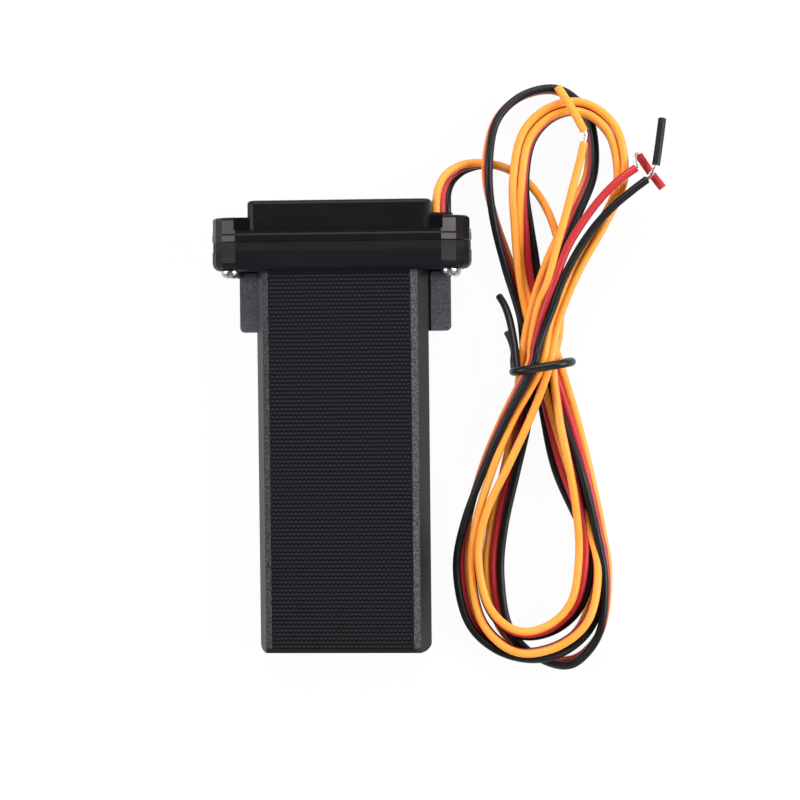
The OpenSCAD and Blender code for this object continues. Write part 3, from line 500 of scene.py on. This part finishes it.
def leg(start, end, reach, out, shares):
    """Places (x, y) of one leg, from its pass through the waist to the loop's end."""
    points = [(start + (out - start) * s, reach * h) for s, h in zip(shares, LEG_HEIGHTS)]
    for t in map(math.radians, END_TURNS):
        points.append((end + (out - end) * math.cos(t),
                       reach * (LEG_TOP + (1 - LEG_TOP) * math.sin(t))))
    return points


def hank_knots():
    """Knots (x, y, lift, twist) of the hank, from the waist's middle."""
    knots = list(RUN_IN)
    for loop, start, after in zip(ORDER, PASSES, PASSES[1:]):
        reach, end, right, left, places = LOOPS[loop]
        ways = leg(start[0], end, reach, *right) + [(end, reach)]
        ways += reversed(leg(after[0], end, reach, *left))
        marks = [start[1:]] + places + [after[1:]]
        lift, twist = (list(zip(STATIONS, column)) for column in zip(*marks))
        knots.append((start[0], 0, *start[1:]))
        knots += [(x, y, between(lift, k), between(twist, k)) for k, (x, y) in enumerate(ways, 1)]
    last = PASSES[-1]
    return knots + [(last[0], 0, *last[1:])] + RUN_OUT


def unwound(knots):
    """Twists made to run on without a jump of a full turn."""
    out, last = [], knots[0][3]
    for x, y, lift, twist in knots:
        twist += 360 * round((last - twist) / 360)
        out.append((x, y, lift, twist))
        last = twist
    return out


def middle_way():
    """The cable's middle from the gland to the end of the hank, as (x, y, z, twist)."""
    hank = []
    for x, y, lift, twist in unwound(hank_knots()):
        rise = TIE_D * max(0, 1 - (y / LIFT_RUN) ** 2)
        z = BED + lift + PITCH * abs(math.sin(math.radians(twist))) + rise
        hank.append((WAIST[0] + x, WAIST[1] + y, z, twist))
    return smooth(LEAD + hank, CABLE_STEPS)


# Settling: cores closer than a diameter are parted a little at a time, mostly by height. Each push is
# spread over SPREAD points to both sides, so that the cable stays smooth. Points fewer than NEAR_RUN
# apart on the way aren't compared, nor two that are closer than SAME_PLACE
SETTLE_ROUNDS = 90
SPREAD = 10
NEAR_RUN = 14
SAME_PLACE = 0.01
# The share of a push that one round makes, the longest push, the share of it that goes sideways, and
# the most that a point moves sideways in all
SETTLE_SHARE = 0.5
PUSH_MOST = 1.0
SIDE_SHARE = 0.3
SIDE_MOST = 0.15
# The highest that the cable's middle may be, under the tie, and how many points stay at each end
HIGHEST = 13.6
STILL_START = len(LEAD) * CABLE_STEPS // 2
STILL_END = 3 * CABLE_STEPS


def crowding(way):
    """For each point of the way, the push away from what its cores run into."""
    cores = [core_way(way, core) for core in TURNS]
    tree = KDTree(len(cores) * len(way))
    for c, core in enumerate(cores):
        for i, point in enumerate(core):
            tree.insert(point, c * len(way) + i)
    tree.balance()
    pushes = []
    for i in range(len(way)):
        push = Vector((0, 0, 0))
        for core in cores:
            here = Vector(core[i])
            for place, number, gap in tree.find_range(here, CORE_D):
                if abs(i - number % len(way)) > NEAR_RUN and gap > SAME_PLACE:
                    part = here - place
                    up = math.sqrt(max(CORE_D ** 2 - part.xy.length ** 2, 0)) - abs(part.z)
                    side = part.xy * (CORE_D - gap) / gap * SIDE_SHARE
                    push += Vector((side.x, side.y, math.copysign(up, part.z)))
        pushes.append(push * min(1.0, PUSH_MOST / push.length) if push.length > 0 else push)
    return pushes


def spread(values):
    """Values averaged with their neighbours, the near ones more."""
    weights = {k: SPREAD - abs(k) for k in range(1 - SPREAD, SPREAD)}
    out = []
    for i in range(len(values)):
        total = Vector((0, 0, 0))
        for k, weight in weights.items():
            total += values[min(max(i + k, 0), len(values) - 1)] * weight
        out.append(total / sum(weights.values()))
    return out


def rest_height(point):
    """Height of the cable's middle where its lowest core lies on the floor."""
    return BED + PITCH * abs(math.sin(math.radians(point[3])))


def moved(middle, moves):
    """The way after its moves, on the floor or above it, and under the tie."""
    return [(p[0] + m.x, p[1] + m.y, min(max(p[2] + m.z, rest_height(p)), HIGHEST), p[3])
            for p, m in zip(middle, moves)]


def settle(middle):
    """The way moved so that cores lie on each other and not in each other, nor in the floor."""
    moves = [Vector((0, 0, 0)) for _ in middle]
    way = middle
    free = range(STILL_START, len(way) - STILL_END)
    for _ in range(SETTLE_ROUNDS):
        for i, push in enumerate(spread(crowding(way))):
            if i in free:
                moves[i] += push * SETTLE_SHARE
                size = moves[i].xy.length
                if size > SIDE_MOST:
                    moves[i].x, moves[i].y = moves[i].xy * SIDE_MOST / size
                moves[i].z = max(moves[i].z, rest_height(middle[i]) - middle[i][2])
        way = moved(middle, moves)
    return moved(middle, spread(moves))


def neighbours(way, i):
    """The points before and after one point of a way, or the point itself at an end."""
    return way[max(i - 1, 0)], way[min(i + 1, len(way) - 1)]


def core_way(middle, core):
    """One core's own way beside the cable's middle."""
    way = []
    for i, (x, y, z, twist) in enumerate(middle):
        a, b = neighbours(middle, i)
        dx, dy = b[0] - a[0], b[1] - a[1]
        size = math.hypot(dx, dy)
        t, k = math.radians(twist), TURNS[core] * PITCH
        way.append((x - dy / size * k * math.cos(t), y + dx / size * k * math.cos(t),
                    z + k * math.sin(t)))
    return way


def add_cores():
    """The three cores, each from the gland through the hank to its free end."""
    middle = settle(middle_way())
    for core in TURNS:
        way = core_way(middle, core)
        way += smooth([way[-TAIL_OVERLAP], way[-1]] + TAILS[core], CABLE_STEPS)[CABLE_STEPS + 1:]
        cord = add_wire("cord_" + core, way, CORE_D, "wire_" + core)
        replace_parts(cord, "lead_" + core, "hank_" + core, "tail_" + core)
        ends = add_stripped_end(core)


# Stripped ends: the way of the bare strands, and of the slug of insulation on them
STRIPS = {
    "orange": ([(48.5, 55.6, 11.2), (48.8, 57.2, 11.3), (48.6, 57.9, 11.3)],
               [(48.55, 57.8, 11.3), (46.2, 62.2, 11.5), (43.4, 66.6, 11.3)]),
    "red": ([(58.7, 50.5, 10.6), (58.5, 52.2, 9.6), (58.6, 53.4, 8.6), (59.2, 53.2, 8.2)],
            [(59.2, 53.2, 8.2), (61.4, 49.9, 8.0), (63.9, 46.6, 8.2)]),
    "black": ([(60.8, 48.2, 10.4), (61.9, 49.6, 10.7), (62.5, 50.6, 10.6), (62.6, 51.1, 10.5)],
              [(62.57, 51, 10.5), (63.3, 55.8, 9.8), (63.9, 60.2, 9)]),
}
# Strands: their diameter and roundness, the ring that they stand in, their number with the middle one,
# and how far they turn on the way, in half turns
STRAND_D = 0.24
STRAND_RESOLUTION = 2
STRAND_RING = 0.3
STRAND_COUNT = 7
STRAND_TWIST = 1.2


def strand_way(way, number):
    """One strand's own way beside the middle one, which has number 0."""
    if number == 0:
        return way
    points = []
    for i, point in enumerate(way):
        a, b = map(Vector, neighbours(way, i))
        ahead = (b - a).normalized()
        side = ahead.cross(Vector((0, 0, 1))).normalized()
        turn = 2 * math.pi * number / (STRAND_COUNT - 1) + STRAND_TWIST * i / len(way) * math.pi
        offset = (side * math.cos(turn) + ahead.cross(side) * math.sin(turn)) * STRAND_RING
        points.append(Vector(point) + offset)
    return points


def add_stripped_end(core):
    """Bare strands lightly twisted about their way, with the cut slug still on their tips."""
    bare, slug = STRIPS[core]
    way = smooth(bare, END_STEPS)
    ways = [strand_way(way, number) for number in range(STRAND_COUNT)]
    strands = add_piece("bare_" + core, round_curve("bare_" + core, STRAND_D, ways, STRAND_RESOLUTION),
                        "copper_strands")
    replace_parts(strands, "strands_" + core)
    piece = add_wire("slug_end_" + core, smooth(slug, END_STEPS), CORE_D, "wire_" + core)
    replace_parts(piece, "slug_" + core)
    return [strands, piece]


# The tie: half its clear width, its full height, its turn in degrees, how square it is, its points, how
# much thinner its two ends are, and their ways
TIE_HALF_W = 5.0
TIE_HEIGHT = 15.0
TIE_TURN = 9
TIE_POWER = 3.2
TIE_STEPS = 64
TIE_TAPER = 0.2
TIE_TAILS = [
    [(34.9, 11.2, 10.2), (34.7, 13.2, 9.2), (34.4, 15.6, 8.0), (33.9, 18.4, 6.6), (33.2, 21.4, 5.0),
     (32.3, 23.8, 3.4), (31.2, 25.6, 1.8)],
    [(34.3, 10.9, 8.6), (34.2, 12.6, 8.4), (34.3, 14.2, 7.8), (34.0, 15.8, 7.0), (33.5, 17.2, 6.2),
     (32.9, 18.4, 5.6)],
]


def squared(value):
    """A sine or cosine made fuller, for a ring between a circle and a box."""
    return math.copysign(abs(value) ** (2 / TIE_POWER), value)


def add_tie():
    """A covered wire bent once round the waist; its two ends stand beside it."""
    ring = []
    turn = math.radians(TIE_TURN)
    for k in range(TIE_STEPS):
        t = 2 * math.pi * k / TIE_STEPS
        across = squared(math.cos(t)) * (TIE_HALF_W + TIE_D / 2)
        up = squared(math.sin(t)) * (TIE_HEIGHT - TIE_D) / 2
        ring.append((WAIST[0] + across * math.cos(turn), WAIST[1] + across * math.sin(turn),
                     TIE_HEIGHT / 2 + up))
    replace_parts(add_wire("tie_band", ring, TIE_D, "tie_black", closed=True), "hank_tie")
    tails = [add_wire("tie_tail_%d" % i, smooth(points, END_STEPS), TIE_D - TIE_TAPER, "tie_black")
             for i, points in enumerate(TIE_TAILS)]
    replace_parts(tails[0], "tie_ends")


# Pieces inside, seen with the case drawn off. Edges as (share of the height, inset), corner radii, the
# least radius that a corner keeps, and the steps of a corner
POUCH_EDGE = [(0, 2.2), (0.05, 1.2), (0.16, 0.65), (0.34, 0.45), (0.66, 0.45), (0.84, 0.65),
              (0.95, 1.2), (1, 2.2)]
SEAM_EDGE = [(0.47, 0.06), (0.48, 0), (0.52, 0), (0.53, 0.06)]
FOAM_EDGE = [(0, 0.05), (0.08, 0), (0.25, 0.12), (0.5, 0.2), (0.75, 0.12), (0.92, 0), (1, 0.05)]
POUCH_CORNER = 2.0
FOAM_CORNER = 0.4
LEAST_CORNER = 0.05
CORNER_STEPS = 5


def box_of(node):
    """Lowest and highest corner of a CAD node, in millimetres."""
    return [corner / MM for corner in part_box(node)]


def outline(low, high, inset, corner):
    """A rectangle with round corners, drawn in by inset."""
    radius = max(corner - inset, LEAST_CORNER)
    corners = ((high.x, high.y), (low.x, high.y), (low.x, low.y), (high.x, low.y))
    points = []
    for quarter, (x, y) in enumerate(corners):
        x += math.copysign(inset + radius, -1 if quarter in (0, 3) else 1)
        y += math.copysign(inset + radius, -1 if quarter < 2 else 1)
        for k in range(CORNER_STEPS + 1):
            turn = math.pi / 2 * (quarter + k / CORNER_STEPS)
            points.append((x + radius * math.cos(turn), y + radius * math.sin(turn)))
    return points


def add_layers(mesh, low, high, edge, corner):
    """Rings of an outline from the bottom to the top, closed at both ends."""
    rings = []
    for share, inset in edge:
        z = low.z + (high.z - low.z) * share
        rings.append([mesh.verts.new(Vector((x, y, z)) * MM)
                      for x, y in outline(low, high, inset, corner)])
    count = len(rings[0])
    for under, over in zip(rings, rings[1:]):
        for i in range(count):
            j = (i + 1) % count
            mesh.faces.new((under[i], under[j], over[j], over[i])).smooth = True
    mesh.faces.new(rings[0][::-1])
    mesh.faces.new(rings[-1])


def add_mesh(name, mesh, slot):
    """A mesh as a piece."""
    data = bpy.data.meshes.new(name)
    mesh.to_mesh(data)
    mesh.free()
    return add_piece(name, data, slot)


def add_soft_insides():
    """The pouch cell with its sealed seam, and the foam pads pressed between the hard pieces."""
    low, high = box_of("battery")
    mesh = bmesh.new()
    add_layers(mesh, low, high, POUCH_EDGE, POUCH_CORNER)
    add_layers(mesh, low, high, SEAM_EDGE, POUCH_CORNER / 2)
    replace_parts(add_mesh("pouch_cell", mesh, "pouch"), "battery")
    for node in ("patch_pad", "battery_pad"):
        low, high = box_of(node)
        mesh = bmesh.new()
        add_layers(mesh, low, high, FOAM_EDGE, FOAM_CORNER)
        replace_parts(add_mesh("foam_" + node, mesh, "foam"), node)


# Small parts on the board, as (x, y, 1 where they lie along Y)
SMALL_PARTS = [(-12.5, -12.4, 1), (-12.5, -9.6, 1), (0.6, -13.4, 1), (0.6, -11, 1), (8.6, -12.6, 0),
               (11.2, -12.6, 0), (8.6, -10.9, 0), (11.2, -10.9, 0), (7.4, -2, 1), (7.4, 1, 1),
               (7.4, 4, 1), (7.4, 7, 1), (7.4, 12.4, 1), (11.2, 11, 0), (11.2, 13, 0), (11.2, 15, 0),
               (-10.6, 27.6, 0), (-5.6, 25, 1), (4.8, 25, 1), (5.6, 19, 1), (11.4, 27.8, 0),
               (11.4, 29.4, 0)]
# Their size, the length of a tinned end, and how far the body lies within it
SMALL_L = 1.6
SMALL_W = 0.8
SMALL_H = 0.55
CAP_L = 0.32
SKIN = 0.03
# A chip's legs: their places along its side, how far one stands out, its width and thickness, and its
# three blocks as (start, end, bottom, top)
LEG_SHARES = (0.2, 0.5, 0.8)
LEG_OUT = 0.55
LEG_W = 0.26
LEG_T = 0.14
LEG_BLOCKS = ((0, LEG_OUT / 2, LEG_T * 2, LEG_T * 3),
              (LEG_OUT / 2 - LEG_T, LEG_OUT, 0, LEG_T),
              (LEG_OUT / 2 - LEG_T, LEG_OUT / 2, 0, LEG_T * 3))
# A block's broken edge as a share of its smallest side
EDGE_SHARE = 0.18
EDGE_STEPS = 2


def add_block(mesh, low, high):
    """A block with broken edges."""
    smallest = min(b - a for a, b in zip(low, high))
    made = bmesh.ops.create_cube(mesh, size=1)["verts"]
    for vert in made:
        vert.co = Vector([(a + b) / 2 + c * (b - a) for a, b, c in zip(low, high, vert.co)]) * MM
    bmesh.ops.bevel(mesh, geom=list({edge for vert in made for edge in vert.link_edges}),
                    offset=smallest * EDGE_SHARE * MM, segments=EDGE_STEPS, profile=0.5,
                    affect="EDGES")


def chip_boxes():
    """The power chips stand in one row along Y: a box for each."""
    mesh = frame["nodes"]["chips"].data
    ends = sorted({round(vert.co.y / MM, 2) for vert in mesh.vertices})
    low, high = box_of("chips")
    return [(Vector((low.x, a, low.z)), Vector((high.x, b, high.z)))
            for a, b in zip(ends[::2], ends[1::2])]


def add_small_part(bodies, ends, centre, along):
    """A resistor or capacitor: its body, and a tinned end at each side."""
    size = Vector((SMALL_W, SMALL_L, 0)) if along else Vector((SMALL_L, SMALL_W, 0))
    way = Vector((0, 1, 0)) if along else Vector((1, 0, 0))
    low, high = centre - size / 2, centre + size / 2 + Vector((0, 0, SMALL_H))
    add_block(bodies, low + way * CAP_L / 2 + Vector((SKIN, SKIN, 0)),
              high - way * CAP_L / 2 - Vector((SKIN, SKIN, SKIN)))
    add_block(ends, low, high - way * (SMALL_L - CAP_L))
    add_block(ends, low + way * (SMALL_L - CAP_L), high)


def add_chip_legs(ends, low, high, top):
    """Bent legs along both sides of a chip."""
    for share in LEG_SHARES:
        y = low.y + (high.y - low.y) * share
        for x, out in ((low.x, -1), (high.x, 1)):
            for start, end, bottom, upper in LEG_BLOCKS:
                a, b = sorted((x + out * start, x + out * end))
                add_block(ends, Vector((a, y - LEG_W / 2, top + bottom)),
                          Vector((b, y + LEG_W / 2, top + upper)))


def add_small_parts():
    """Resistors and capacitors with tinned ends, and the bent legs of the power chips."""
    top = box_of("board")[1].z
    bodies, ends = bmesh.new(), bmesh.new()
    for x, y, along in SMALL_PARTS:
        add_small_part(bodies, ends, Vector((x, y, top)), along)
    for low, high in chip_boxes():
        add_chip_legs(ends, low, high, top)
    add_mesh("small_bodies", bodies, "chip_black")
    add_mesh("small_ends", ends, "tinned_steel")


# Floor: size and drop in metres, its grey, and how much of its shadows shows
FLOOR_SIZE = 3.0
FLOOR_DROP = 0.0001
FLOOR_GREY = 0.86
SHADOW_SHARE = 0.05
# Light from all round, as (height of the direction, strength), and the lamps in metres and watts: name,
# place, size and power
GLOW = ((0.35, 0.42), (0.95, 0.06))
LAMPS = (
    ("right", (0.75, 0.05, 0.45), 0.5, 9.0),
    ("left", (-0.75, 0.05, 0.5), 0.5, 6.0),
    ("top", (0.05, 0.75, 0.55), 0.6, 8.0),
    ("low", (0.0, -0.75, 0.5), 0.5, 3.0),
)
LAMPS_LOOK_AT = (0.02, 0.01, 0.0)


def make_floor():
    """A floor that the camera sees as white with faint shadows, and that lights the part as grey."""
    bpy.ops.mesh.primitive_plane_add(size=FLOOR_SIZE, location=(0, 0, -FLOOR_DROP))
    floor = bpy.context.object
    floor.name = "floor"
    s = Shader("floor")
    s.set(Base_Color=(FLOOR_GREY, FLOOR_GREY, FLOOR_GREY, 1), Roughness=0.9)
    nodes = s.tree.nodes
    white = s.node("ShaderNodeEmission", {"Color": (1, 1, 1, 1), "Strength": 1.0})
    path = nodes.new("ShaderNodeLightPath")
    seen = s.maths("MAXIMUM", path.outputs["Is Camera Ray"], path.outputs["Is Glossy Ray"])
    share = s.product(seen, 1 - SHADOW_SHARE)
    mix = s.node("ShaderNodeMixShader", {0: share, 1: s.base.outputs[0], 2: white})
    s.put(nodes["Material Output"].inputs["Surface"], mix)
    floor.data.materials.append(s.material)


def add_lamp(name, at, size, power):
    """A square lamp that looks at the part."""
    data = bpy.data.lights.new(name, "AREA")
    data.shape = "SQUARE"
    data.size = size
    data.energy = power
    lamp = add_object(name, data)
    lamp.location = at
    lamp.rotation_euler = (Vector(LAMPS_LOOK_AT) - Vector(at)).to_track_quat("-Z", "Y").to_euler()


def make_light():
    """A soft glow that is stronger from the sides than from above, and the lamps."""
    world = bpy.data.worlds.new("world")
    bpy.context.scene.world = world
    world.use_nodes = True
    tree = world.node_tree
    place = tree.nodes.new("ShaderNodeTexCoord")
    parts = tree.nodes.new("ShaderNodeSeparateXYZ")
    height = tree.nodes.new("ShaderNodeMapRange")
    tree.links.new(place.outputs["Generated"], parts.inputs[0])
    tree.links.new(parts.outputs["Z"], height.inputs["Value"])
    for end, (at, strength) in zip(("Min", "Max"), GLOW):
        height.inputs["From " + end].default_value = at
        height.inputs["To " + end].default_value = strength
    tree.links.new(height.outputs[0], tree.nodes["Background"].inputs["Strength"])
    for lamp in LAMPS:
        add_lamp(*lamp)


make_camera()
add_cores()
add_tie()
dress_cad()
add_soft_insides()
add_small_parts()
make_floor()
make_light()
bpy.context.scene.view_settings.view_transform = "Standard"
bpy.context.view_layer.update()
